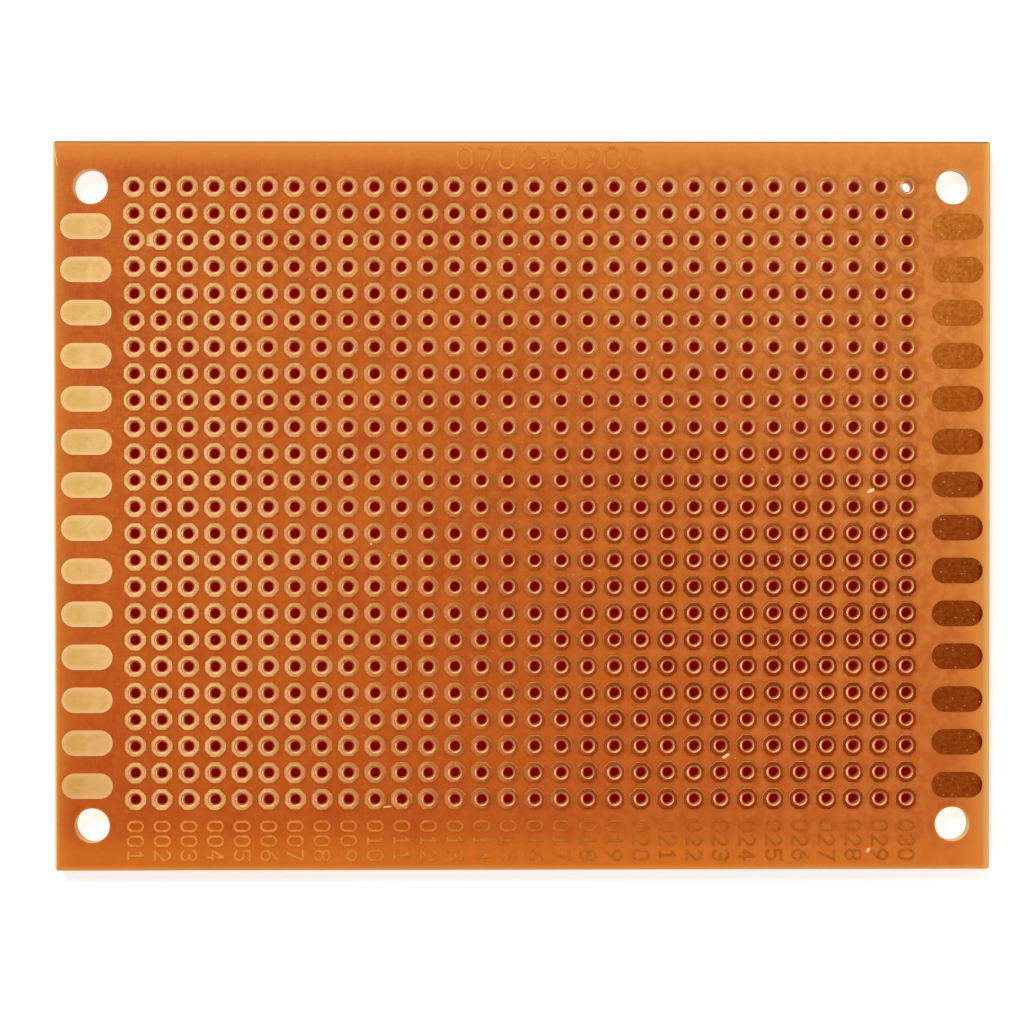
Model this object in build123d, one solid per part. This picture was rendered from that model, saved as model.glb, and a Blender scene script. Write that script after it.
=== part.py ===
"""A single-sided perforated prototype board, nominally 70 by 90 mm.

A sheet of phenolic-paper laminate carries a grid of octagonal copper pads. Each pad surrounds a
punched lead hole, and the punch has drawn the foil round the hole down into the sheet. A row of
long contacts runs down each short end, four mounting holes stand at the corners, etched numbers
count the columns, and an etched mark gives the size in tenths of a millimetre.

The board lies copper side up. X runs along the rows, Y across them, and the origin is the centre
of the underside. All sizes are in millimetres.
"""

import os

from build123d import *

# Lead-hole grid
pitch = 2.54
columns = 30
rows = 24

# Laminate sheet
laminate_thickness = 1.5
corner_radius = 0.3

# Copper foil and the pads etched from it
foil = 0.035
pad_across_flats = 2.03
pad_sides = 8

# Punched lead holes: the lip is the foil that the punch drew into the sheet
lead_bore = 0.90
lip_mouth = 1.36
lip_depth = 0.15

# Contacts down the two short ends
contacts_per_end = 14
contact_length = 4.87
contact_width = 2.44
contact_end_gap = 0.665
left_pad_gap = 1.13
right_pad_gap = 1.41
contact_inset_rows = 1

# Mounting holes at the corners
mounting_bore = 3.3
mounting_inset_x = 3.55
mounting_inset_y = 4.3

# Column numbers below the last row: three digits each, turned to read downwards
number_height = 1.42
number_width = 0.88
number_stroke = 0.22
number_space = 0.30
number_pad_gap = 1.0
number_edge_gap = 0.86
number_digits = 3

# Size mark above the first row
mark_text = "0700*0900"
mark_height = 1.97
mark_width = 1.32
mark_stroke = 0.25
mark_space = 0.43
mark_pad_gap = 0.60
mark_edge_gap = 0.48
mark_shift_x = 2.5

# Etching flaw: copper left between one pad and its left neighbour, and a nub at its upper right
flaw_row = 3
flaw_column = 2
spur_height = 1.1
spur_gap_top = 0.24
spur_gap_foot = 0.15
nub_reach = 0.2
nub_height = 0.45

# Strokes of the etched digits, as points in a cell one wide and one high
digit_strokes = {
    "0": [[(0, 0.2), (0, 0.8), (0.3, 1), (0.7, 1), (1, 0.8), (1, 0.2), (0.7, 0), (0.3, 0), (0, 0.2)]],
    "1": [[(0.2, 0.8), (0.5, 1), (0.5, 0)], [(0.2, 0), (0.8, 0)]],
    "2": [[(0, 0.8), (0.3, 1), (0.7, 1), (1, 0.8), (1, 0.6), (0, 0), (1, 0)]],
    "3": [[(0, 0.85), (0.3, 1), (0.75, 1), (1, 0.8), (1, 0.65), (0.7, 0.52), (0.4, 0.52)],
          [(0.7, 0.52), (1, 0.38), (1, 0.2), (0.75, 0), (0.3, 0), (0, 0.15)]],
    "4": [[(0.7, 0), (0.7, 1), (0, 0.36)], [(0, 0.3), (1, 0.3)]],
    "5": [[(1, 1), (0, 1), (0, 0.58), (0.65, 0.62), (1, 0.42), (1, 0.2), (0.7, 0), (0.3, 0), (0, 0.15)]],
    "6": [[(0.85, 1), (0.3, 0.75), (0.02, 0.44)],
          [(0, 0.42), (0, 0.2), (0.3, 0), (0.7, 0), (1, 0.2), (1, 0.4), (0.7, 0.58), (0.3, 0.58), (0, 0.42)]],
    "7": [[(0, 1), (1, 1), (0.25, 0)]],
    "8": [[(0.3, 0.54), (0, 0.68), (0, 0.86), (0.3, 1), (0.7, 1), (1, 0.86), (1, 0.68), (0.7, 0.54), (0.3, 0.54)],
          [(0.3, 0.54), (0, 0.36), (0, 0.16), (0.3, 0), (0.7, 0), (1, 0.16), (1, 0.36), (0.7, 0.54), (0.3, 0.54)]],
    "9": [[(0.15, 0), (0.7, 0.25), (0.98, 0.56)],
          [(1, 0.58), (1, 0.8), (0.7, 1), (0.3, 1), (0, 0.8), (0, 0.6), (0.3, 0.42), (0.7, 0.42), (1, 0.58)]],
    "*": [[(0.5, 0.15), (0.5, 0.85)], [(0, 0.5), (1, 0.5)], [(0.15, 0.26), (0.85, 0.74)],
          [(0.15, 0.74), (0.85, 0.26)]],
}

# Outline, worked out from what the board has to carry
pad_reach = pad_across_flats / 2
grid_length = (columns - 1) * pitch
grid_width = (rows - 1) * pitch
contact_zone = contact_length + contact_end_gap
number_zone = number_digits * (number_width + number_stroke) + (number_digits - 1) * number_space
left_margin = pad_reach + left_pad_gap + contact_zone
right_margin = pad_reach + right_pad_gap + contact_zone
top_margin = pad_reach + mark_pad_gap + mark_height + mark_stroke + mark_edge_gap
bottom_margin = pad_reach + number_pad_gap + number_zone + number_edge_gap
board_length = left_margin + grid_length + right_margin
board_width = top_margin + grid_width + bottom_margin
laminate_bore = lead_bore + 2 * foil
copper_bottom = laminate_thickness


def column_x(column):
    """X of a column of pads, counted from 1 at the left."""
    return left_margin - board_length / 2 + (column - 1) * pitch


def row_y(row):
    """Y of a row of pads, counted from 1 at the top."""
    return board_width / 2 - top_margin - (row - 1) * pitch


def mounting_places():
    """The centres of the four mounting holes."""
    x = board_length / 2 - mounting_inset_x
    y = board_width / 2 - mounting_inset_y
    return [(x, y), (-x, y), (-x, -y), (x, -y)]


def laminate_board():
    """The sheet, with its dished lead holes and its mounting holes."""
    outline = RectangleRounded(board_length, board_width, corner_radius)
    sheet = extrude(outline, laminate_thickness)
    dish_floor = laminate_thickness - lip_depth
    section = Polyline(
        (0, -foil),
        (laminate_bore / 2, -foil),
        (laminate_bore / 2, dish_floor),
        (lip_mouth / 2, laminate_thickness),
        (lip_mouth / 2, laminate_thickness + foil),
        (0, laminate_thickness + foil),
        close=True,
    )
    lead_hole = revolve(Plane.XZ * make_face(section), Axis.Z)
    mounting_hole = extrude(Circle(mounting_bore / 2), laminate_thickness)
    grid = [(column_x(c), row_y(r)) for r in range(1, rows + 1) for c in range(1, columns + 1)]
    holes = [lead_hole.moved(Location((x, y, 0))) for x, y in grid]
    holes += [mounting_hole.moved(Location((x, y, 0))) for x, y in mounting_places()]
    return sheet - holes


def pad(extra_copper=None):
    """One pad at the origin: an octagon of foil whose rim dips into the lead hole.

    The lip lies on the dished laminate and thins a little towards its lower edge.
    """
    octagon = RegularPolygon(pad_reach, pad_sides, major_radius=False, rotation=180 / pad_sides)
    etched = octagon + extra_copper if extra_copper else octagon
    flat = extrude(etched - Circle(lip_mouth / 2), foil)
    section = Polyline(
        (lip_mouth / 2, 0),
        (lip_mouth / 2, foil),
        (lead_bore / 2, -lip_depth),
        (laminate_bore / 2, -lip_depth),
        close=True,
    )
    lip = revolve(Plane.XZ * make_face(section), Axis.Z)
    return (flat + lip).moved(Location((0, 0, copper_bottom)))


def flawed_pad():
    """The pad that kept a spur on its left and a nub at its upper right when it was etched."""
    neighbour = pad_reach - pitch
    half = spur_height / 2
    spur_outline = Polyline(
        (-lip_mouth / 2, half),
        (neighbour + spur_gap_top, half),
        (neighbour + spur_gap_foot, -half),
        (-lip_mouth / 2, -half),
        close=True,
    )
    nub_outline = Polyline(
        (lip_mouth / 2, 0),
        (pad_reach, 0),
        (pad_reach + nub_reach, nub_height),
        (lip_mouth / 2, nub_height),
        close=True,
    )
    return pad(make_face(spur_outline) + make_face(nub_outline))


def pad_row(row, plain_pad):
    """All the pads of one row, each a solid of its own."""
    pads = []
    for column in range(1, columns + 1):
        flawed = row == flaw_row and column == flaw_column
        chosen = flawed_pad() if flawed else plain_pad
        pads.append(chosen.moved(Location((column_x(column), row_y(row), 0))))
    return Compound(pads)


def contact():
    """One round-ended contact at the origin."""
    outline = SlotOverall(contact_length, contact_width)
    return extrude(outline, foil).moved(Location((0, 0, copper_bottom)))


def contact_places(side):
    """Centres of the contacts of one end, from the top down. Side is -1 at the left, 1 at the right.

    The contacts spread evenly over the rows, less the inset at each end, about the board's middle.
    """
    spread = grid_width - 2 * contact_inset_rows * pitch
    step = spread / (contacts_per_end - 1)
    x = side * (board_length / 2 - contact_end_gap - contact_length / 2)
    return [(x, spread / 2 - index * step) for index in range(contacts_per_end)]


def digit(character, width, height, stroke):
    """One etched character centred on the origin, drawn with a round pen as wide as the stroke."""
    shape = None
    for line in digit_strokes[character]:
        points = [Vector((x - 0.5) * width, (y - 0.5) * height) for x, y in line]
        if line[0] == line[-1]:
            loop = Wire.make_polygon(points[:-1], close=True)
            outer = make_face(offset(loop, stroke / 2, kind=Kind.ARC))
            drawn = outer - make_face(offset(loop, -stroke / 2, kind=Kind.INTERSECTION))
        else:
            path = Wire.make_polygon(points, close=False)
            drawn = make_face(offset(path, stroke / 2, kind=Kind.ARC, side=Side.BOTH))
        shape = drawn if shape is None else shape + drawn
    return extrude(shape, foil).moved(Location((0, 0, copper_bottom)))


def column_numbers():
    """The numbers of all the columns, reading downwards with their tops to the right."""
    glyphs = {
        key: Rot(0, 0, -90) * digit(key, number_width, number_height, number_stroke)
        for key in "0123456789"
    }
    advance = number_width + number_stroke + number_space
    first_y = row_y(rows) - pad_reach - number_pad_gap - (number_width + number_stroke) / 2
    solids = []
    for column in range(1, columns + 1):
        for index, character in enumerate(f"{column:0{number_digits}d}"):
            place = Location((column_x(column), first_y - index * advance, 0))
            solids.append(glyphs[character].moved(place))
    return Compound(solids)


def size_mark():
    """The size mark in plain numerals above the first row."""
    glyphs = {key: digit(key, mark_width, mark_height, mark_stroke) for key in set(mark_text)}
    advance = mark_width + mark_stroke + mark_space
    middle = (len(mark_text) - 1) / 2
    y = row_y(1) + pad_reach + mark_pad_gap + (mark_height + mark_stroke) / 2
    places = [(mark_shift_x + (index - middle) * advance, y) for index in range(len(mark_text))]
    return Compound([glyphs[key].moved(Location((*place, 0))) for key, place in zip(mark_text, places)])


def main():
    """Write one STEP file for each piece of the board."""
    os.makedirs("parts", exist_ok=True)
    pieces = {"laminate_board": laminate_board()}
    plain_pad = pad()
    for row in range(1, rows + 1):
        pieces[f"pad_row_{row:02d}"] = pad_row(row, plain_pad)
    for side, name in ((-1, "left"), (1, "right")):
        for index, (x, y) in enumerate(contact_places(side), start=1):
            pieces[f"{name}_contact_{index:02d}"] = contact().moved(Location((x, y, 0)))
    pieces["column_numbers"] = column_numbers()
    pieces["size_mark"] = size_mark()
    for name, piece in pieces.items():
        export_step(piece, f"parts/{name}.step", write_pcurves=False)


main()
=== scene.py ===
"""Dresses a single-sided phenolic prototype board in its looks, seen from almost straight above.

The laminate sheet, the end contacts and the etched digits keep their own solids and get detailed
materials here. Each row of pads is replaced by pads whose lips roll over into the lead holes, and
specks of punching dust lie on the sheet. Lengths are in metres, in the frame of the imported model.
"""
import math

import bpy
import numpy as np
from mathutils import Matrix, Vector

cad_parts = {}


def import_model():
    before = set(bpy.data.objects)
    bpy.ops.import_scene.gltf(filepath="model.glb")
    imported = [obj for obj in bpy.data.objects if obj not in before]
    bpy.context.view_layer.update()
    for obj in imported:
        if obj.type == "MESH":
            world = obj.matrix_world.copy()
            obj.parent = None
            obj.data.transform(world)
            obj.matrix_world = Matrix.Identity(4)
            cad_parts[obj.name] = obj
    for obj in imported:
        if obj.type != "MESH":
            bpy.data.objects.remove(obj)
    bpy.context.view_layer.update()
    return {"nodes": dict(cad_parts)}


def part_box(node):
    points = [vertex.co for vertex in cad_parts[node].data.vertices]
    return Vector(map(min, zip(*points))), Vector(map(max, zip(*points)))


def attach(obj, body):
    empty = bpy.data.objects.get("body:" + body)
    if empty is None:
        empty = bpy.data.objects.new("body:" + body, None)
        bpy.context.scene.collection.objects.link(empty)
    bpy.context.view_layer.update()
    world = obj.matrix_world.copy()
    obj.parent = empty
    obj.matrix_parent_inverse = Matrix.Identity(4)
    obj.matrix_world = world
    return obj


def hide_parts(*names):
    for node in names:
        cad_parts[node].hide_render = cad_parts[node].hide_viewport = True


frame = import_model()
MM = 0.001

# Layout of the board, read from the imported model
HALF_LENGTH, HALF_WIDTH, SHEET_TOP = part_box("laminate_board")[1]
PAD_ROWS = sorted(name for name in frame["nodes"] if name.startswith("pad_row_"))
CONTACTS = sorted(name for name in frame["nodes"] if "_contact_" in name)
ROW_LOW, ROW_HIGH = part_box(PAD_ROWS[0])
ROWS = len(PAD_ROWS)
COLUMNS = 30
PAD_REACH = (ROW_HIGH[1] - ROW_LOW[1]) / 2
FIRST_X = ROW_LOW[0] + PAD_REACH
FIRST_Y = ROW_LOW[1] + PAD_REACH
PITCH = (ROW_HIGH[0] - PAD_REACH - FIRST_X) / (COLUMNS - 1)
LAST_X = FIRST_X + (COLUMNS - 1) * PITCH
LAST_Y = FIRST_Y - (ROWS - 1) * PITCH
FOIL_TOP = ROW_HIGH[2]
LIP_FOOT = ROW_LOW[2]

# The punched lead holes, and where the four mounting holes stand in from the sheet's edges
LIP_THROAT = 0.45 * MM
LIP_MOUTH = 0.68 * MM
MOUNTING_REACH = 1.65 * MM
MOUNTING_INSET = (3.55 * MM, 4.30 * MM)

# The photograph's camera: almost straight down on the middle of the board
CAMERA_HEIGHT = 230 * MM
CAMERA_AT = (-3.2 * MM, 2.68 * MM)
CAMERA_AIM = (-1.02 * MM, -0.54 * MM)
CAMERA_ROLL = math.radians(0.04)
FRAME_HALF_WIDTH = 48.84 * MM
CLIP_START = 10 * MM
CLIP_END = 10


def rng(seed):
    """A seeded source of random numbers, so that each run makes the same board."""
    return np.random.default_rng(seed)


def mesh_piece(name, vertices, faces, smooth=None):
    """A mesh object at the origin from an array of vertices (n, 3) and a list of faces."""
    mesh = bpy.data.meshes.new(name)
    mesh.from_pydata(vertices.tolist(), [], faces)
    if smooth is not None:
        mesh.polygons.foreach_set("use_smooth", smooth.astype(bool))
    mesh.validate()
    mesh.update()
    piece = bpy.data.objects.new(name, mesh)
    bpy.context.scene.collection.objects.link(piece)
    return piece


# Materials


class Nodes:
    """Short calls for building one material's node tree."""

    def __init__(self, name):
        self.material = bpy.data.materials.new(name)
        self.material.use_nodes = True
        self.tree = self.material.node_tree
        self.shader = self.tree.nodes["Principled BSDF"]
        coordinates = self.tree.nodes.new("ShaderNodeTexCoord")
        self.place = coordinates.outputs["Object"]

    def add(self, kind, settings=None, inputs=None):
        """A node with attributes set, and its inputs set to values or linked to sockets."""
        node = self.tree.nodes.new(kind)
        for key, value in (settings or {}).items():
            setattr(node, key, value)
        for key, value in (inputs or {}).items():
            self.feed(node.inputs[key], value)
        return node

    def feed(self, socket, value):
        """Links a socket to the input, or sets the input's constant."""
        if isinstance(value, bpy.types.NodeSocket):
            self.tree.links.new(value, socket)
        else:
            socket.default_value = value

    def set(self, **values):
        """Sets or links inputs of the shader, named with underscores for spaces."""
        for key, value in values.items():
            self.feed(self.shader.inputs[key.replace("_", " ")], value)

    def math(self, operation, first, second=0.0, third=0.0):
        """One step of arithmetic."""
        inputs = {0: first, 1: second, 2: third}
        return self.add("ShaderNodeMath", {"operation": operation}, inputs).outputs[0]

    def hypotenuse(self, first, second):
        """The square root of the sum of two squares."""
        squares = self.math("MULTIPLY", first, first)
        squares = self.math("ADD", squares, self.math("MULTIPLY", second, second))
        return self.math("SQRT", squares)

    def ragged(self, value, noise, reach):
        """The value plus the noise's distance from its middle, times the reach."""
        return self.math("MULTIPLY_ADD", self.math("SUBTRACT", noise, 0.5), reach, value)

    def ramp(self, value, low, high, to_low=0.0, to_high=1.0):
        """The value's range low to high carried smoothly to another range."""
        settings = {"interpolation_type": "SMOOTHSTEP"}
        inputs = {
            "Value": value,
            "From Min": low,
            "From Max": high,
            "To Min": to_low,
            "To Max": to_high,
        }
        return self.add("ShaderNodeMapRange", settings, inputs).outputs[0]

    def mix(self, factor, first, second):
        """A colour mixed from two colours."""
        node = self.add("ShaderNodeMix", {"data_type": "RGBA"})
        self.feed(node.inputs[0], factor)
        self.feed(node.inputs[6], first)
        self.feed(node.inputs[7], second)
        return node.outputs[2]

    def layers(self, base, *layers):
        """The base colour with tints laid over it in turn.

        A layer is a value, the range over which it comes in, the most that it covers, and its tint.
        """
        for value, (low, high), most, tint in layers:
            base = self.mix(self.ramp(value, low, high, 0.0, most), base, tint)
        return base

    def split(self, vector=None):
        """The x, y and z of a vector, or else of the point's own place."""
        return self.add("ShaderNodeSeparateXYZ", None, {0: vector or self.place}).outputs

    def attribute(self, name):
        """The mesh's own number of this name."""
        return self.add("ShaderNodeAttribute", {"attribute_name": name}).outputs["Fac"]

    def stretched(self, along):
        """Object coordinates scaled along each axis."""
        return self.add("ShaderNodeMapping", None, {"Vector": self.place, "Scale": along}).outputs[0]

    def noise(self, grain, detail, roughness, vector=None):
        """Noise whose patches are about one grain across, in metres."""
        inputs = {
            "Vector": vector or self.place,
            "Scale": 1 / grain,
            "Detail": detail,
            "Roughness": roughness,
        }
        return self.add("ShaderNodeTexNoise", None, inputs).outputs["Fac"]

    def bump(self, height, depth, strength, normal=None):
        """A normal tilted by a height, on top of another normal where one is given."""
        inputs = {"Height": height, "Distance": depth, "Strength": strength}
        node = self.add("ShaderNodeBump", None, inputs)
        if normal is not None:
            self.feed(node.inputs["Normal"], normal)
        return node.outputs[0]


def colour(red, green, blue):
    """A colour given in 8-bit display values, as the linear value that a shader wants."""
    display = np.array([red, green, blue]) / 255
    linear = np.where(display <= 0.04045, display / 12.92, ((display + 0.055) / 1.055) ** 2.4)
    return (*linear.tolist(), 1.0)


LAMINATE = {
    "resin": colour(162, 70, 16),
    "patch": colour(178, 90, 24),
    "cloud": colour(188, 98, 32),
    "fibre": colour(146, 56, 8),
    "weft": colour(200, 112, 44),
    "fleck": colour(176, 52, 14),
    # Painted sheen: the resin's paler tints towards the right
    "painted_sheen": colour(184, 106, 40),
    "painted_sheen_cloud": colour(204, 130, 60),
    # Painted shade: the resin redder towards the foot, where less sheen falls
    "foot": colour(170, 67, 2),
    # Painted shadow on the laminate just outside each pad
    "etched": colour(142, 58, 14),
    # Painted glow of light leaking in at the edges: paler margins, a paler bottom band, paler rims at the
    # edges and mounting holes, and pale lines along the right and left edges
    "painted_glow_margin": colour(212, 134, 54),
    "bottom_margin": colour(206, 114, 28),
    "rim": colour(208, 152, 76),
    "painted_glow_right_edge": colour(208, 164, 94),
    # A painted dark line of shade along the top edge
    "painted_shade_top_edge": colour(128, 66, 18),
    "painted_glow_left_edge": colour(240, 206, 150),
    "lead_wall": colour(214, 118, 58),
    "mounting_wall": colour(192, 152, 78),
    "dark_ply": colour(112, 54, 18),
    "pale_ply": colour(158, 88, 38),
}
COPPER = {
    "bright": colour(244, 200, 134),
    "stained": colour(232, 184, 116),
    "pore": colour(250, 220, 170),
    "dull_pad": colour(222, 168, 96),
    "mottled_pad": colour(206, 150, 66),
    "pad_rim": colour(196, 138, 72),
    "lip": colour(232, 164, 118),
    "digit": colour(238, 160, 70),
    "stained_digit": colour(218, 132, 46),
}
CONTACT = {
    "tide": colour(190, 150, 70),
    "stain": colour(210, 168, 84),
    "film": colour(206, 172, 84),
    "dried": colour(212, 172, 88),
    # A painted highlight: the paler border along the bright contacts' outlines
    "painted_edge_highlight": colour(246, 200, 140),
    "dark_tarnish": colour(204, 148, 64),
    "pale_tarnish": colour(236, 182, 90),
    "streak": colour(252, 206, 130),
    "scorched": colour(170, 34, 20),
    "dust": colour(236, 184, 122),
}
PAPER = {"pale": colour(244, 214, 160), "dark": colour(224, 178, 112)}


def sheet_distances(nodes):
    """Distances in metres from a point to the sheet's nearest edge and nearest mounting hole's rim."""
    x, y, _ = nodes.split()
    across = nodes.math("ABSOLUTE", x)
    along = nodes.math("ABSOLUTE", y)
    to_end = nodes.math("SUBTRACT", HALF_LENGTH, across)
    to_side = nodes.math("SUBTRACT", HALF_WIDTH, along)
    to_edge = nodes.math("MINIMUM", to_end, to_side)
    hole_x = nodes.math("SUBTRACT", across, HALF_LENGTH - MOUNTING_INSET[0])
    hole_y = nodes.math("SUBTRACT", along, HALF_WIDTH - MOUNTING_INSET[1])
    to_rim = nodes.math("SUBTRACT", nodes.hypotenuse(hole_x, hole_y), MOUNTING_REACH)
    return to_edge, to_rim


def sheet_wall(nodes):
    """1 on the upright walls of the sheet's holes and edges, 0 on its faces."""
    normal = nodes.add("ShaderNodeNewGeometry").outputs["Normal"]
    upright = nodes.split(normal)[2]
    return nodes.ramp(nodes.math("ABSOLUTE", upright), 0.5, 0.2)


def steps_off(nodes, place, first, step, count):
    """How many steps a place lies from the nearest of a count of evenly spaced places, with its sign.

    The nearest is the place's distance from the first in steps, rounded and kept within the count.
    """
    steps = nodes.math("DIVIDE", nodes.math("SUBTRACT", place, first), step)
    nearest = nodes.math("MAXIMUM", nodes.math("ROUND", steps), 0.0)
    nearest = nodes.math("MINIMUM", nearest, count - 1.0)
    return nodes.math("SUBTRACT", steps, nearest)


def pad_distance(nodes):
    """Distance in metres from a point of the sheet to the octagonal edge of its nearest pad.

    An octagon's distance is the greater of its flats' and its corners' distances from the pad's
    centre, less the pad's reach.
    """
    x, y, _ = nodes.split()
    offsets = []
    for place, first, count in ((x, FIRST_X, COLUMNS), (y, LAST_Y, ROWS)):
        offset = nodes.math("ABSOLUTE", steps_off(nodes, place, first, PITCH, count))
        offsets.append(nodes.math("MULTIPLY", offset, PITCH))
    corner = nodes.math("MULTIPLY", nodes.math("ADD", *offsets), math.sqrt(0.5))
    reach = nodes.math("MAXIMUM", nodes.math("MAXIMUM", *offsets), corner)
    return nodes.math("SUBTRACT", reach, PAD_REACH)


def contact_distance(nodes):
    """Distance in metres from a point to its nearest contact's outline, negative inside.

    A round-ended outline lies half the contact's width away from the line that joins the centres of
    its two round ends.
    """
    low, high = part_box(CONTACTS[-1])
    first_low, first_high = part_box(CONTACTS[0])
    length, width = high[0] - low[0], high[1] - low[1]
    centre_x = abs(low[0] + high[0]) / 2
    last_y = (low[1] + high[1]) / 2
    per_end = len(CONTACTS) // 2
    step = ((first_low[1] + first_high[1]) / 2 - last_y) / (per_end - 1)
    x, y, _ = nodes.split()
    across = nodes.math("SUBTRACT", nodes.math("ABSOLUTE", x), centre_x)
    across = nodes.math("SUBTRACT", nodes.math("ABSOLUTE", across), (length - width) / 2)
    across = nodes.math("MAXIMUM", across, 0.0)
    along = nodes.math("MULTIPLY", steps_off(nodes, y, last_y, step, per_end), step)
    return nodes.math("SUBTRACT", nodes.hypotenuse(across, along), width / 2)


def laminate_material():
    """Orange-brown phenolic paper: mottled resin, paper fibre, and painted glow along its edges.

    Resin is paler towards the right (painted sheen), redder towards the foot (painted shade), and
    darker just outside each pad (a painted shadow of the copper). The punched walls of the lead holes
    are orange-brown, those of the mounting holes are yellower, and the sheared edges show the sheet's
    plies.
    """
    nodes = Nodes("phenolic_laminate")
    x, y, z = nodes.split()
    patches = nodes.noise(6 * MM, 3.0, 0.55)
    clouds = nodes.noise(0.9 * MM, 4.0, 0.6)
    fibre = nodes.noise(0.16 * MM, 2.0, 0.5, nodes.stretched((0.22, 1, 1)))
    weft = nodes.noise(0.16 * MM, 2.0, 0.5, nodes.stretched((1, 0.22, 1)))
    flecks = nodes.noise(0.3 * MM, 3.0, 0.7)
    # Painted sheen that turns the resin paler towards the right
    painted_sheen = nodes.mix(nodes.ramp(clouds, 0.35, 0.65), LAMINATE["painted_sheen"], LAMINATE["painted_sheen_cloud"])
    resin = nodes.layers(
        LAMINATE["resin"],
        (patches, (0.3, 0.7), 1.0, LAMINATE["patch"]),
        (clouds, (0.35, 0.75), 0.6, LAMINATE["cloud"]),
        (fibre, (0.5, 0.75), 0.45, LAMINATE["fibre"]),
        (weft, (0.5, 0.75), 0.3, LAMINATE["weft"]),
        (flecks, (0.62, 0.72), 0.5, LAMINATE["fleck"]),
        (x, (-15 * MM, 46 * MM), 0.75, painted_sheen),
        # Painted shade: redder towards the foot
        (y, (16 * MM, -34 * MM), 0.5, LAMINATE["foot"]),
    )

    # Painted shadow: the laminate's top face darker just outside each pad
    painted_pad_shadow = nodes.ramp(pad_distance(nodes), 0.26 * MM, 0.02 * MM, 0.0, 0.35)
    near_top = nodes.ramp(z, 1.40 * MM, 1.48 * MM)
    resin = nodes.mix(nodes.math("MULTIPLY", painted_pad_shadow, near_top), resin, LAMINATE["etched"])

    to_edge, to_rim = sheet_distances(nodes)
    to_top = nodes.math("SUBTRACT", HALF_WIDTH, y)
    to_bottom = nodes.math("ADD", HALF_WIDTH, y)
    to_right = nodes.math("SUBTRACT", HALF_LENGTH, x)
    to_left = nodes.math("ADD", HALF_LENGTH, x)
    to_light = nodes.math("MINIMUM", to_right, to_top)
    to_light = nodes.math("MINIMUM", nodes.math("ADD", to_left, 1.3 * MM), to_light)
    rim = nodes.math("MINIMUM", nodes.math("MULTIPLY_ADD", to_rim, 1.5, 0.25 * MM), to_edge)
    # Painted glow along the margins, the bottom, the edges and the mounting holes' rims, and a painted
    # dark line of shade along the top edge
    resin = nodes.layers(
        resin,
        (nodes.ragged(to_light, clouds, 1.6 * MM), (3.4 * MM, 0.2 * MM), 0.7, LAMINATE["painted_glow_margin"]),
        (to_bottom, (4.5 * MM, 1.0 * MM), 0.5, LAMINATE["bottom_margin"]),
        (rim, (0.6 * MM, 0.0), 0.5, LAMINATE["rim"]),
        (to_right, (0.8 * MM, 0.1 * MM), 0.8, LAMINATE["painted_glow_right_edge"]),
        (to_top, (0.22 * MM, 0.06 * MM), 0.8, LAMINATE["painted_shade_top_edge"]),
        (to_left, (0.24 * MM, 0.08 * MM), 0.8, LAMINATE["painted_glow_left_edge"]),
    )

    wall = sheet_wall(nodes)
    at_rim = nodes.ramp(nodes.math("ABSOLUTE", to_rim), 0.1 * MM, 0.05 * MM)
    punched = nodes.mix(at_rim, LAMINATE["lead_wall"], LAMINATE["mounting_wall"])
    plies = nodes.noise(0.12 * MM, 3.0, 0.6, nodes.stretched((0.12, 0.12, 1)))
    sheared = nodes.mix(nodes.ramp(plies, 0.35, 0.65), LAMINATE["dark_ply"], LAMINATE["pale_ply"])
    cut = nodes.mix(nodes.ramp(to_edge, 0.12 * MM, 0.06 * MM), punched, sheared)
    rolling = nodes.bump(clouds, 0.02 * MM, 0.35)
    nodes.set(
        Base_Color=nodes.mix(wall, resin, cut),
        Roughness=nodes.ramp(clouds, 0.2, 0.8, 0.4, 0.52),
        Specular_IOR_Level=0.28,
        Normal=nodes.bump(nodes.mix(wall, fibre, plies), 0.008 * MM, 0.6, rolling),
    )
    return nodes.material


def copper_base(nodes, stains):
    """Copper's colour with pale pores, and its pore noise."""
    pores = nodes.noise(0.07 * MM, 2.0, 0.6)
    base = nodes.mix(nodes.ramp(stains, 0.3, 0.75), COPPER["bright"], COPPER["stained"])
    return nodes.layers(base, (pores, (0.62, 0.8), 0.25, COPPER["pore"])), pores


def pad_material():
    """The pads' copper: each pad has its own tone, and its copper darkens towards its etched edge.

    The lip is rougher than the flat, because the punch scuffed it as it drew it down.
    """
    nodes = Nodes("pad_copper")
    stains = nodes.noise(1.2 * MM, 4.0, 0.6)
    mottle = nodes.noise(0.25 * MM, 3.0, 0.65)
    base, pores = copper_base(nodes, stains)
    base = nodes.layers(
        base,
        (nodes.attribute("tone"), (0.3, 1.0), 0.45, COPPER["dull_pad"]),
        (mottle, (0.45, 0.65), 0.35, COPPER["mottled_pad"]),
        (nodes.ragged(nodes.attribute("rim"), stains, 1.4), (0.55, 1.05), 0.55, COPPER["pad_rim"]),
    )
    drawn = nodes.ramp(nodes.attribute("lip"), 0.05, 0.5)
    smooth = nodes.ramp(pores, 0.3, 0.75, 0.13, 0.2)
    nodes.set(
        Base_Color=nodes.mix(drawn, base, COPPER["lip"]),
        Metallic=1.0,
        Roughness=nodes.math("MULTIPLY_ADD", drawn, 0.36, smooth),
        Normal=nodes.bump(pores, 0.0015 * MM, 0.4),
    )
    return nodes.material


def digit_material():
    """The etched digits' copper under the lacquer, almost as brown as the laminate round it."""
    nodes = Nodes("digit_copper")
    stains = nodes.noise(0.8 * MM, 3.0, 0.6)
    pores = nodes.noise(0.07 * MM, 2.0, 0.6)
    nodes.set(
        Base_Color=nodes.mix(nodes.ramp(stains, 0.3, 0.7), COPPER["digit"], COPPER["stained_digit"]),
        Metallic=0.75,
        Roughness=nodes.ramp(pores, 0.3, 0.75, 0.2, 0.3),
        Normal=nodes.bump(pores, 0.002 * MM, 0.4),
    )
    return nodes.material


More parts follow.
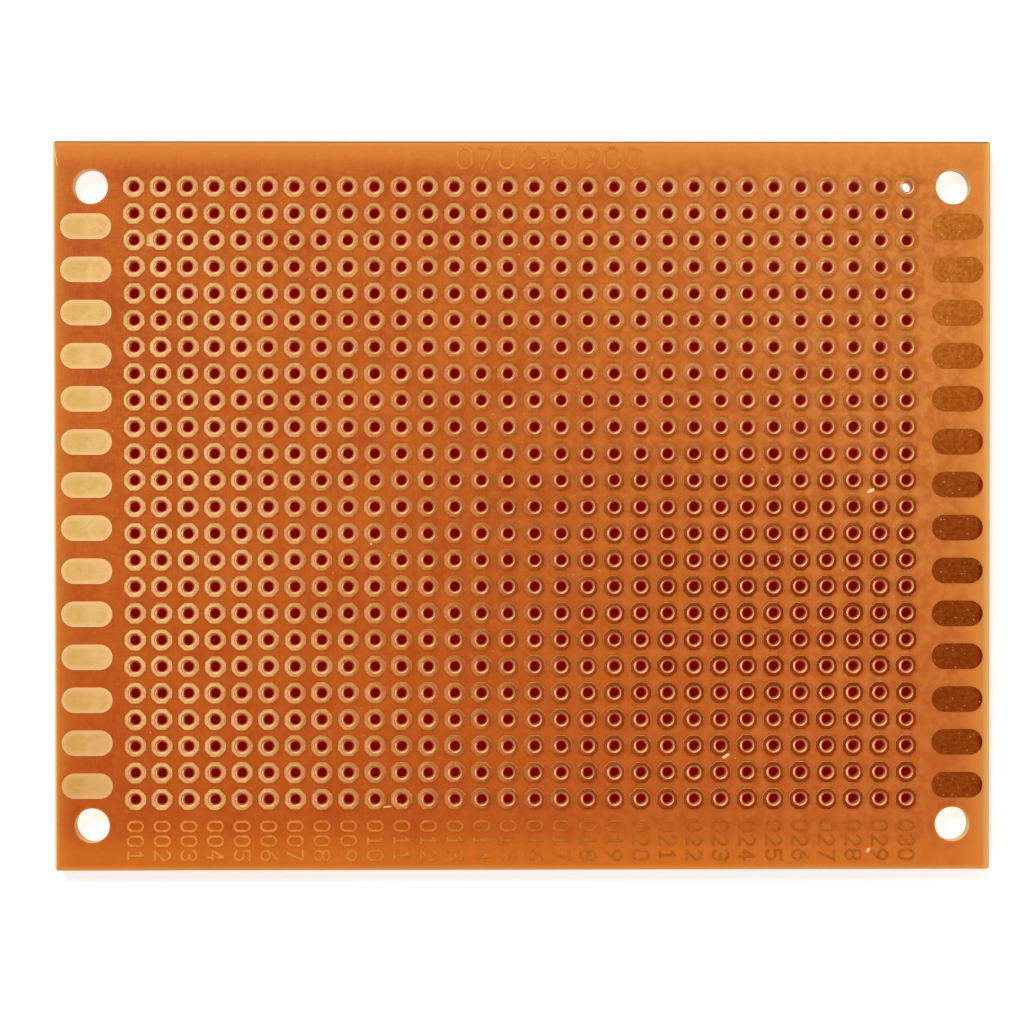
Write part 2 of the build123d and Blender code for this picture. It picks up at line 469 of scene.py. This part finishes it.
def left_contact_copper(nodes, base, stains, x):
    """The bright contacts: dried-water rings and stains, with a painted highlight as a paler border along
    the outline.
    """
    warp = nodes.noise(2.4 * MM, 2.0, 0.5)
    ring = nodes.math("ABSOLUTE", nodes.math("SUBTRACT", warp, 0.52))
    base = nodes.layers(
        base,
        (ring, (0.02, 0.0), 0.25, CONTACT["tide"]),
        (stains, (0.5, 0.75), 0.3, CONTACT["stain"]),
    )
    base = nodes.mix(0.3, base, CONTACT["film"])
    wandering = nodes.ragged(x, warp, 3.0 * MM)
    base = nodes.layers(base, (wandering, (-41.3 * MM, -42.1 * MM), 0.5, CONTACT["dried"]))
    # Painted highlight: a paler border along the outline of each contact at the left end
    from_outline = nodes.ragged(contact_distance(nodes), stains, 0.5 * MM)
    border = nodes.ramp(from_outline, -0.65 * MM, 0.0, 0.0, 0.75)
    left = nodes.ramp(x, -20 * MM, -40 * MM)
    return nodes.mix(nodes.math("MULTIPLY", border, left), base, CONTACT["painted_edge_highlight"])


def tarnished_copper(nodes, base, stains, x, y):
    """The brown contacts: blotches, streaks along the rolling, and the lower tips scorched red."""
    brown = nodes.ramp(x, -20 * MM, 20 * MM)
    blotches = nodes.ramp(nodes.noise(0.35 * MM, 3.0, 0.6), 0.3, 0.7)
    tarnish = nodes.mix(blotches, CONTACT["dark_tarnish"], CONTACT["pale_tarnish"])
    base = nodes.mix(brown, base, tarnish)
    streaks = nodes.noise(0.06 * MM, 2.0, 0.6, nodes.stretched((0.06, 1, 1)))
    showing = nodes.ramp(brown, 0.0, 1.0, 0.25, 0.5)
    streaked = nodes.math("MULTIPLY", nodes.ramp(streaks, 0.55, 0.75), showing)
    base = nodes.mix(streaked, base, CONTACT["streak"])
    tip = nodes.ramp(nodes.ragged(x, stains, 0.8 * MM), 43.4 * MM, 43.8 * MM, 0.0, 0.7)
    lower = nodes.ramp(y, 20 * MM, 4 * MM)
    return nodes.mix(nodes.math("MULTIPLY", tip, lower), base, CONTACT["scorched"])


def contact_dust(nodes, x):
    """How far dust covers a contact: chosen cells of a fine pattern, mostly on the right, in drifts."""
    inputs = {"Vector": nodes.stretched((0.7, 1, 1)), "Scale": 1 / (0.2 * MM)}
    cells = nodes.add("ShaderNodeTexVoronoi", None, inputs)
    chosen = nodes.ramp(nodes.split(cells.outputs["Color"])[0], 0.75, 0.97)
    near = nodes.ramp(cells.outputs["Distance"], 0.4, 0.15)
    drifts = nodes.ramp(nodes.noise(0.9 * MM, 2.0, 0.5), 0.4, 0.62, 0.12, 1.0)
    dust = nodes.math("MULTIPLY", nodes.math("MULTIPLY", near, chosen), drifts)
    return nodes.math("MULTIPLY", dust, nodes.ramp(x, -20 * MM, 20 * MM, 0.15, 1.0))


def contact_material():
    """The contacts' copper, bright at the left end and brown at the right, with grain, stains and dust."""
    nodes = Nodes("contact_copper")
    x, y, _ = nodes.split()
    stains = nodes.noise(1.5 * MM, 4.0, 0.6)
    base, pores = copper_base(nodes, stains)
    base = left_contact_copper(nodes, base, stains, x)
    base = tarnished_copper(nodes, base, stains, x, y)
    dust = contact_dust(nodes, x)
    grain = nodes.noise(0.05 * MM, 3.0, 0.6, nodes.stretched((0.15, 1, 1)))
    nodes.set(
        Base_Color=nodes.mix(dust, base, CONTACT["dust"]),
        Metallic=nodes.math("SUBTRACT", 0.97, nodes.math("MULTIPLY", dust, 0.5)),
        Roughness=nodes.ramp(grain, 0.3, 0.75, 0.14, 0.22),
        Normal=nodes.bump(grain, 0.0008 * MM, 0.4, nodes.bump(pores, 0.001 * MM, 0.4)),
    )
    return nodes.material


def dust_material():
    """Pale paper fibre in the specks that the punch left behind."""
    nodes = Nodes("punching_dust")
    fibre = nodes.noise(0.05 * MM, 3.0, 0.6)
    nodes.set(
        Base_Color=nodes.mix(nodes.ramp(fibre, 0.3, 0.7), PAPER["pale"], PAPER["dark"]),
        Roughness=0.75,
        Normal=nodes.bump(fibre, 0.008 * MM, 0.6),
    )
    return nodes.material


# Pads: sixteen points to a ring, and six rings from the etched edge round to under the lip

PAD_SEED = 100
PAD_SEGMENTS = 16
PAD_RINGS = 6
OCTAGON_RINGS = 2
SMOOTH_BANDS = (2, 3)
RIM_RINGS = (1.0, 1.0, 0.0, 0.0, 0.0, 0.0)
LIP_RINGS = (0.0, 0.0, 0.0, 1.0, 1.0, 1.0)
ROLLOVER = 0.08 * MM
ROLLED_WIDTH = 0.02 * MM
DOME = 0.005 * MM
ETCHED_SLOPE = 0.03 * MM
CORNER_SHARE = 0.7
MOUTH_SPREAD = 0.025

# The error between etching and punching: its mean and spread in millimetres, and each ring's share
ERROR_X = (-0.03, 0.02)
ERROR_Y = (0.0, 0.02)
ERROR_SHARES = np.array([1, 1, 0.5, 0, 0, 0.5])

# The flawed pad, counted from 0, its spur's and its nub's corners, and how far they reach
FLAW_ROW, FLAW_COLUMN = 2, 1
SPUR_CORNERS = slice(7, 10)
NUB_CORNER = 1
SPUR_TOP, SPUR_FOOT, SPUR_HALF = 1.28 * MM, 1.37 * MM, 0.55 * MM
NUB_REACH = 0.2 * MM


def pad_section(count, draw):
    """Radii and heights of the six rings of each pad's section, outside edge first.

    The section runs up the etched edge, across the flat to the mouth, down the rolled lip to its
    foot, and back up under the lip. The flat rises a little from its outside edge to the mouth, so
    that it is very slightly domed. Radii are for circles: the first two rings are scaled to the
    octagon afterwards.
    """
    mouth = LIP_MOUTH * draw.normal(1.0, MOUTH_SPREAD, count)
    radii = np.stack([
        np.full(count, PAD_REACH),
        np.full(count, PAD_REACH - ETCHED_SLOPE),
        mouth + ROLLED_WIDTH,
        (mouth + LIP_THROAT) / 2,
        np.full(count, LIP_THROAT),
        np.full(count, LIP_MOUTH),
    ])
    heights = np.stack([
        np.full(count, SHEET_TOP),
        np.full(count, FOIL_TOP - DOME),
        np.full(count, FOIL_TOP),
        np.full(count, FOIL_TOP - ROLLOVER),
        np.full(count, LIP_FOOT),
        np.full(count, SHEET_TOP),
    ])
    return radii, heights


def pad_row(index, node, material):
    """One row of copper pads as a piece that replaces its node.

    Ring k of a pad is its section's k-th radius turned through sixteen angles. The outer two rings
    divide that radius by the cosine of the angle to the nearest flat, less a share that the etch took
    off the corners, which makes an octagon. They are shifted by the small error between etching and
    punching.
    """
    draw = rng(PAD_SEED + index)
    centre_x = FIRST_X + PITCH * np.arange(COLUMNS)
    centre_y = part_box(node)[1][1] - PAD_REACH
    radii, heights = pad_section(COLUMNS, draw)
    angles = 2 * math.pi * np.arange(PAD_SEGMENTS) / PAD_SEGMENTS
    to_flat = np.mod(angles + math.pi / 8, math.pi / 4) - math.pi / 8
    outer = np.arange(PAD_RINGS)[:, None] < OCTAGON_RINGS
    octagon = np.where(outer, 1 + CORNER_SHARE * (1 / np.cos(to_flat) - 1), 1.0)
    reach = radii[:, :, None] * octagon[:, None, :]
    error_x = ERROR_SHARES[:, None] * draw.normal(*ERROR_X, COLUMNS) * MM
    error_y = ERROR_SHARES[:, None] * draw.normal(*ERROR_Y, COLUMNS) * MM
    x = reach * np.cos(angles) + error_x[:, :, None]
    y = reach * np.sin(angles) + error_y[:, :, None]
    if index == FLAW_ROW:
        add_flaw(x, y)
    x = x + centre_x[None, :, None]
    y = y + centre_y
    z = np.broadcast_to(heights[:, :, None], x.shape)
    vertices = np.stack([x, y, z], -1).transpose(1, 0, 2, 3).reshape(-1, 3)
    faces = ring_faces(COLUMNS, PAD_RINGS, PAD_SEGMENTS).tolist()
    piece = mesh_piece(f"copper_{node}", vertices, faces, lip_smooth())
    for name, values in (
        ("tone", np.repeat(draw.random(COLUMNS), PAD_RINGS * PAD_SEGMENTS)),
        ("rim", np.tile(np.repeat(RIM_RINGS, PAD_SEGMENTS), COLUMNS)),
        ("lip", np.tile(np.repeat(LIP_RINGS, PAD_SEGMENTS), COLUMNS)),
    ):
        attribute = piece.data.attributes.new(name, "FLOAT", "POINT")
        attribute.data.foreach_set("value", values)
    piece.data.materials.append(material)
    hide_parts(node)
    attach(piece, "root")


def add_flaw(x, y):
    """Draws the flawed pad's corners out into its spur on the left and its nub at the upper right."""
    for ring in range(OCTAGON_RINGS):
        x[ring, FLAW_COLUMN, SPUR_CORNERS] = (-SPUR_TOP, -(SPUR_TOP + SPUR_FOOT) / 2, -SPUR_FOOT)
        y[ring, FLAW_COLUMN, SPUR_CORNERS] = (SPUR_HALF, 0, -SPUR_HALF)
        x[ring, FLAW_COLUMN, NUB_CORNER] += NUB_REACH


def ring_faces(count, rings, segments):
    """Quads of closed tubes: each joins ring k to ring k + 1, and the last ring to the first."""
    tube = np.arange(count)[:, None, None] * rings * segments
    ring = np.arange(rings)[None, :, None]
    segment = np.arange(segments)[None, None, :]
    following = (segment + 1) % segments
    outer = tube + ring * segments
    inner = tube + (ring + 1) % rings * segments
    quads = np.stack([outer + segment, outer + following, inner + following, inner + segment], -1)
    return quads.reshape(-1, 4)


def lip_smooth():
    """Smooth shading for the two bands of the lip alone, in the order of ring_faces."""
    bands = np.isin(np.arange(PAD_RINGS), SMOOTH_BANDS)
    return np.tile(np.repeat(bands, PAD_SEGMENTS), COLUMNS)


# Punching dust

DUST_SEED = 7
FLAKE_SIDES = 12
# A flake's rounding power, how far its corners come in, and its four rings: size and share of height
FLAKE_ROUNDING = 0.7
FLAKE_CORNERS = (0.82, 1.0)
FLAKE_RINGS = ((0.8, 0.02), (1.0, 0.3), (0.95, 0.7), (0.6, 0.94))
# Flakes seen in the photograph: x, y, length and width in millimetres, and the turn in degrees
FLAKES = (
    (33.26, 1.45, 0.84, 0.36, 24),
    (19.41, -23.9, 0.84, 0.31, 33),
    (-12.93, -28.69, 0.9, 0.15, 4),
    (-11.17, -28.74, 0.32, 0.17, -52),
    (-11.74, -28.45, 0.14, 0.12, 0),
    (33.06, -32.95, 0.54, 0.28, 55),
    (-14.46, -3.58, 0.25, 0.23, 0),
    (-12.75, -4.64, 0.16, 0.1, 80),
    (-39.07, 7.2, 0.13, 0.11, 0),
    (-44.39, 33.4, 2.42, 0.10, -79.5),
)
# Stray flakes: their number, how far they lie off the middle between pads, and their length, all in
# millimetres, and their width as a share of it
STRAY_FLAKES = 70
STRAY_REACH = 0.3
STRAY_LENGTH = (0.04, 0.13)
STRAY_WIDTH = (0.4, 0.9)


def flake(place, length, width, turn, draw):
    """One flat flake of dust, as vertices and faces.

    Its outline is a rounded oblong: a circle whose cosine and sine are raised to the power 0.7, with
    each corner pushed in a little. Four such rings, small, full, full and small, stand on the sheet
    and stay below the copper's top. A face closes each end.
    """
    angles = 2 * math.pi * np.arange(FLAKE_SIDES) / FLAKE_SIDES
    corners = draw.uniform(*FLAKE_CORNERS, FLAKE_SIDES)
    along, across = (
        np.sign(wave) * np.abs(wave) ** FLAKE_ROUNDING * size / 2 * corners
        for wave, size in ((np.cos(angles), length), (np.sin(angles), width))
    )
    cosine, sine = math.cos(turn), math.sin(turn)
    flat = np.stack([along * cosine - across * sine, along * sine + across * cosine], -1)
    rings = []
    for scale, height in FLAKE_RINGS:
        level = np.full((FLAKE_SIDES, 1), SHEET_TOP + (FOIL_TOP - SHEET_TOP) * height)
        rings.append(np.hstack([flat * scale + place, level]))
    top = (len(FLAKE_RINGS) - 1) * FLAKE_SIDES
    quads = ring_faces(1, len(FLAKE_RINGS), FLAKE_SIDES)[:top].tolist()
    ends = [list(range(FLAKE_SIDES))[::-1], list(range(top, top + FLAKE_SIDES))]
    return np.vstack(rings), quads + ends


def stray_places(draw):
    """Places for stray flakes on the laminate between the pads, spread at random over the grid."""
    columns = draw.integers(0, COLUMNS - 1, STRAY_FLAKES)
    rows = draw.integers(0, ROWS - 1, STRAY_FLAKES)
    middle = np.array([FIRST_X, LAST_Y]) + (np.stack([columns, rows], -1) + 0.5) * PITCH
    return middle + draw.uniform(-STRAY_REACH, STRAY_REACH, (STRAY_FLAKES, 2)) * MM


def punching_dust():
    """All the dust on the sheet as one piece."""
    draw = rng(DUST_SEED)
    chosen = [(np.array([x, y]) * MM, length * MM, width * MM, math.radians(turn))
              for x, y, length, width, turn in FLAKES]
    for place in stray_places(draw):
        length = draw.uniform(*STRAY_LENGTH) * MM
        chosen.append((place, length, length * draw.uniform(*STRAY_WIDTH), draw.uniform(0, math.pi)))
    vertices, faces, count = [], [], 0
    for place, length, width, turn in chosen:
        points, sides = flake(place, length, width, turn, draw)
        vertices.append(points)
        faces += [[corner + count for corner in side] for side in sides]
        count += len(points)
    piece = mesh_piece("punching_dust", np.vstack(vertices), faces)
    piece.data.materials.append(dust_material())
    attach(piece, "root")


# Light, card and floor

# Soft boxes that point at the board: name, place and width in metres, power in watts, and whether
# they light matt surfaces and whether they show in glossy ones
KEY_PLACE = (-0.27, 0.53, 0.46)
BOXES = (
    ("key", KEY_PLACE, 0.36, 2.4, True, True),
    ("gleam_right", (0.6, -0.12, 0.3), 0.4, 2.2, False, True),
    ("key_soft", KEY_PLACE, 0.36, 3.2, True, False),
    ("fill_right", (0.55, -0.25, 0.42), 0.5, 2.1, True, False),
    ("fill_front", (-0.2, -0.6, 0.45), 0.5, 1.6, True, False),
)

# The reflection card's height and half width, and the ranges of its x or y, in metres, over which its
# brightness changes, each with the change's two ends where they aren't 0 and 1
CARD_HEIGHT = 0.5
CARD_HALF = 0.55
CARD_LEFT_FADE = (-0.13, 0.0, 0.0, 0.55)
CARD_LEFT_END = (-0.015, 0.015, 0.0, 0.45)
CARD_CORNER_X = (-0.106, -0.12)
CARD_CORNER_Y = (-0.045, -0.095, 0.0, 0.35)
CARD_TOP = (-0.02, 0.07, 0.0, 0.64)
CARD_BLEND = 0.06
CARD_FAR_RIGHT = (0.1, 0.14, 1.0, 0.55)
CARD_FOOT_RISE = (-0.058, -0.085, 0.0, 0.13)
CARD_FOOT_FALL = (-0.112, -0.101)
# The card's tints from its darkest to its brightest, the middle two with their brightness
CARD_DARK = (0.24, 0.028, 0.0, 1)
CARD_BRIGHT = (1.06, 1.05, 1.08, 1)
CARD_MIDDLE = ((0.25, (0.56, 0.19, 0.045, 1)), (0.5, (0.71, 0.42, 0.23, 1)))

# The studio round the board: where its front turns to its back, and its horizon to its ceiling
BACK_FROM_FRONT = (-0.8, 0.3)
CEILING_FROM_HORIZON = (0.25, 0.75)
HORIZON_FRONT = (0.55, 0.36, 0.25, 1)
HORIZON_BACK = (1.2, 1.15, 1.12, 1)
CEILING = (0.06, 0.035, 0.02, 1)

# The floor, how strongly it glows where it is bare, and its colours there and beneath the sheet, where a
# faintly glowing deep red is painted shade for the lead holes' bottoms
FLOOR_HALF = 6
FLOOR_DROP = 0.02 * MM
SURROUND_GLOW = (-0.1, -0.5, 0.45, 0.9)
MOUNTING_GLOW = 0.65
OPEN_HOLE_GLOW = 1.2
FLOOR_BARE, GLOW_BARE = (0.86, 0.86, 0.86, 1), (1, 1, 1, 1)
# Beneath the sheet: painted shade, a deep red that glows faintly at the lead holes' bottoms
PAINTED_HOLE_SHADE, PAINTED_HOLE_GLOW = (0.3, 0.004, 0.002, 1), (0.13, 0.0004, 0.0001, 1)


def lights():
    """Soft studio light, strongest from the upper left.

    The key shows in the copper as well as lighting the board. A gleam at the right shows only in
    glossy surfaces, and the softer key and the two fills only light the board.
    """
    for name, place, width, power, lighting, showing in BOXES:
        data = bpy.data.lights.new(name, "AREA")
        data.shape = "RECTANGLE"
        data.size = data.size_y = width
        data.energy = power
        light = bpy.data.objects.new(name, data)
        bpy.context.scene.collection.objects.link(light)
        light.location = place
        light.rotation_euler = (-Vector(place)).to_track_quat("-Z", "Y").to_euler()
        light.visible_camera = False
        light.visible_diffuse = lighting
        light.visible_glossy = showing


def reflection_card():
    """A card overhead that only glossy surfaces see.

    It is bright on the left, half as bright along the top, and a deep warm brown elsewhere, which the
    flat copper mirrors as the change from gold to brown across the board. Its lower left corner, its
    far right and its foot differ a little from the rest.
    """
    half, height = CARD_HALF, CARD_HEIGHT
    corners = [(-half, -half, height), (-half, half, height), (half, half, height), (half, -half, height)]
    card = mesh_piece("reflection_card", np.array(corners), [[0, 1, 2, 3]])
    nodes = Nodes("card_glow")
    x, y, _ = nodes.split()
    left = nodes.math("SUBTRACT", 1.0, nodes.ramp(x, *CARD_LEFT_FADE))
    left = nodes.math("SUBTRACT", left, nodes.ramp(x, *CARD_LEFT_END))
    corner = nodes.math("MULTIPLY", nodes.ramp(x, *CARD_CORNER_X), nodes.ramp(y, *CARD_CORNER_Y))
    left = nodes.math("SUBTRACT", left, corner)
    level = nodes.math("SMOOTH_MAX", left, nodes.ramp(y, *CARD_TOP), CARD_BLEND)
    level = nodes.math("MULTIPLY", level, nodes.ramp(x, *CARD_FAR_RIGHT))
    foot = nodes.math("MULTIPLY", nodes.ramp(y, *CARD_FOOT_RISE), nodes.ramp(y, *CARD_FOOT_FALL))
    tints = nodes.add("ShaderNodeValToRGB", None, {0: nodes.math("MAXIMUM", level, foot)})
    stops = tints.color_ramp.elements
    stops[0].color, stops[1].color = CARD_DARK, CARD_BRIGHT
    for place, tint in CARD_MIDDLE:
        stops.new(place).color = tint
    glow = nodes.add("ShaderNodeEmission", None, {"Color": tints.outputs[0]})
    nodes.tree.links.new(glow.outputs[0], nodes.tree.nodes["Material Output"].inputs[0])
    nodes.material.cycles.emission_sampling = "NONE"
    card.data.materials.append(nodes.material)
    card.visible_camera = False
    card.visible_diffuse = False
    card.visible_transmission = False
    card.visible_shadow = False


def graded(tree, value, bounds, first, second):
    """A colour that turns evenly from the first to the second as the value crosses its bounds."""
    share = tree.nodes.new("ShaderNodeMapRange")
    share.inputs["From Min"].default_value, share.inputs["From Max"].default_value = bounds
    tree.links.new(value, share.inputs["Value"])
    tint = tree.nodes.new("ShaderNodeMix")
    tint.data_type = "RGBA"
    tree.links.new(share.outputs[0], tint.inputs[0])
    if isinstance(first, bpy.types.NodeSocket):
        tree.links.new(first, tint.inputs[6])
    else:
        tint.inputs[6].default_value = first
    tint.inputs[7].default_value = second
    return tint.outputs[2]


def world():
    """A studio that is brown at the front of its horizon, white at the back, and dim overhead."""
    made = bpy.data.worlds.new("studio")
    made.use_nodes = True
    tree = made.node_tree
    direction = tree.nodes.new("ShaderNodeTexCoord")
    parts = tree.nodes.new("ShaderNodeSeparateXYZ")
    tree.links.new(direction.outputs["Generated"], parts.inputs[0])
    horizon = graded(tree, parts.outputs[1], BACK_FROM_FRONT, HORIZON_FRONT, HORIZON_BACK)
    sky = graded(tree, parts.outputs[2], CEILING_FROM_HORIZON, horizon, CEILING)
    tree.links.new(sky, tree.nodes["Background"].inputs["Color"])
    bpy.context.scene.world = made


def floor():
    """A plain pale floor just under the sheet, which glows faintly wherever the sheet leaves it bare.

    Bare means beyond the sheet's edges, in the mounting holes, and in the one lead hole at the top
    right that is open right through. Beyond the edges the glow grows with distance. Beneath the sheet
    the floor is painted shade: a deep red that glows faintly and shows in the other lead holes.
    """
    half = FLOOR_HALF
    corners = np.array([(-half, -half, 0), (half, -half, 0), (half, half, 0), (-half, half, 0)])
    plane = mesh_piece("studio_floor", corners - (0, 0, FLOOR_DROP), [[0, 1, 2, 3]])
    nodes = Nodes("pale_floor")
    x, y, _ = nodes.split()
    to_edge, to_rim = sheet_distances(nodes)
    open_x = nodes.math("SUBTRACT", x, LAST_X)
    open_y = nodes.math("SUBTRACT", y, FIRST_Y)
    to_open = nodes.math("SUBTRACT", nodes.hypotenuse(open_x, open_y), LIP_MOUTH)
    glow = nodes.math("LESS_THAN", to_edge, 0.0)
    glow = nodes.math("MULTIPLY", glow, nodes.ramp(to_edge, *SURROUND_GLOW))
    for distance, strength in ((to_rim, MOUNTING_GLOW), (to_open, OPEN_HOLE_GLOW)):
        inside = nodes.math("LESS_THAN", distance, 0.0)
        glow = nodes.math("MAXIMUM", glow, nodes.math("MULTIPLY", inside, strength))
    bare = nodes.math("GREATER_THAN", glow, 0.0)
    # Beneath the sheet the floor gets painted shade, a deep red glowing at strength 1
    nodes.set(
        Base_Color=nodes.mix(bare, PAINTED_HOLE_SHADE, FLOOR_BARE),
        Roughness=0.9,
        Specular_IOR_Level=0.1,
        Emission_Color=nodes.mix(bare, PAINTED_HOLE_GLOW, GLOW_BARE),
        Emission_Strength=nodes.math("MAXIMUM", glow, nodes.math("SUBTRACT", 1.0, bare)),
    )
    nodes.material.cycles.emission_sampling = "NONE"
    plane.data.materials.append(nodes.material)


def camera():
    """The photograph's camera, with its field of view set by the frame's half width at the board."""
    data = bpy.data.cameras.new("photo_camera")
    data.angle = 2 * math.atan(FRAME_HALF_WIDTH / CAMERA_HEIGHT)
    data.clip_start, data.clip_end = CLIP_START, CLIP_END
    made = bpy.data.objects.new("photo_camera", data)
    bpy.context.scene.collection.objects.link(made)
    made.location = (*CAMERA_AT, FOIL_TOP + CAMERA_HEIGHT)
    aim = Vector((*CAMERA_AIM, FOIL_TOP))
    backward = (made.location - aim).normalized()
    upward = Vector((math.sin(CAMERA_ROLL), math.cos(CAMERA_ROLL), 0))
    right = upward.cross(backward).normalized()
    up = backward.cross(right)
    made.rotation_euler = Matrix((right, up, backward)).transposed().to_euler()
    bpy.context.scene.camera = made


def dress(node, material):
    """Gives a CAD node a material in all its slots."""
    shape = frame["nodes"][node]
    for slot in shape.material_slots:
        slot.material = material
    if not shape.material_slots:
        shape.data.materials.append(material)


def main():
    """Builds the studio and dresses the board."""
    bpy.context.scene.view_settings.view_transform = "Standard"
    camera()
    world()
    floor()
    lights()
    reflection_card()
    pad_copper = pad_material()
    contact_copper = contact_material()
    digit_copper = digit_material()
    dress("laminate_board", laminate_material())
    for node in CONTACTS:
        dress(node, contact_copper)
    for node in ("column_numbers", "size_mark"):
        dress(node, digit_copper)
    for index, node in enumerate(PAD_ROWS):
        pad_row(index, node, pad_copper)
    punching_dust()


main()
